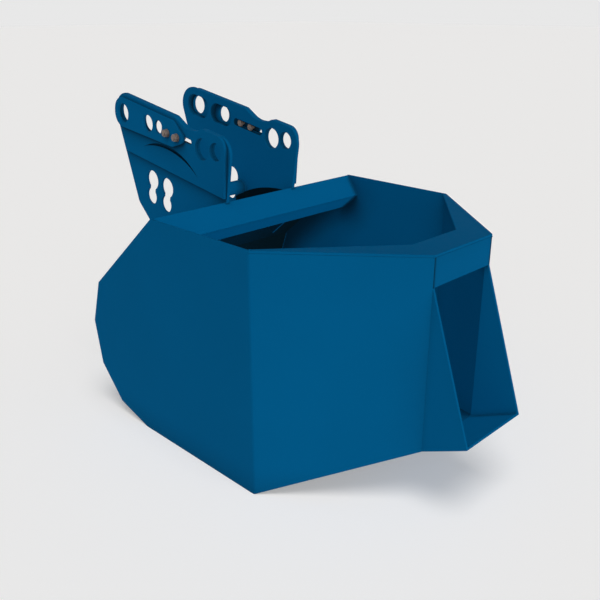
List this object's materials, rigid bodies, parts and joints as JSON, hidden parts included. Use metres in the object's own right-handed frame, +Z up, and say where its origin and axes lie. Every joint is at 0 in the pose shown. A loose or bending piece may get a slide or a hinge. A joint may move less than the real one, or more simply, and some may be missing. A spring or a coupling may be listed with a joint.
{
  "type": "pouring bucket",
  "caption": "Welded plate bucket with a narrow front pouring spout, a folded hood and two hitch ears with sliding, bolted pin plates for an excavator.",
  "frame": {"origin": "on the ground in the middle plane, straight below the apex of the hood", "axes": "+Z up; -Y towards the spout, +Y towards the heel; X across the bucket"},
  "size_m": [1, 1.7326, 1.1805],
  "materials": {
    "bucket": "satin blue powder coat on folded sheet",
    "ear": "satin blue powder coat on cut plate",
    "pin_plate": "satin blue powder coat on cut plate",
    "fastener": "dull plated steel"
  },
  "bodies": {
    "bucket": {"side_plate_left": "bucket", "side_plate_right": "bucket", "top_back_plate": "bucket", "heel_plate": "bucket", "floor_plate": "bucket", "front_floor": "bucket", "spout_floor": "bucket", "nose_band": "bucket", "rim_plate": "bucket", "spout_cheek_left": "bucket", "spout_cheek_right": "bucket", "hood": "bucket", "hood_rib_left": "bucket", "hood_rib_right": "bucket", "ear_left": "ear", "ear_right": "ear", "ear_doubler_left": "ear", "ear_doubler_right": "ear", "spreader_tube": "ear"},
    "pin_carrier_left": {"pin_plate_left": "pin_plate", "clamp_bolts_left": "fastener", "clamp_washers_left": "fastener", "clamp_nuts_left": "fastener"},
    "pin_carrier_right": {"pin_plate_right": "pin_plate", "clamp_bolts_right": "fastener", "clamp_washers_right": "fastener", "clamp_nuts_right": "fastener"}
  },
  "joints": [
    {"name": "pin_slide_left", "type": "slide", "parent": "bucket", "child": "pin_carrier_left", "axis": [0, -0.9848, -0.1736], "range_m": [-0.02, 0.062]},
    {"name": "pin_slide_right", "type": "slide", "parent": "bucket", "child": "pin_carrier_right", "axis": [0, -0.9848, -0.1736], "range_m": [-0.02, 0.062]}
  ]
}
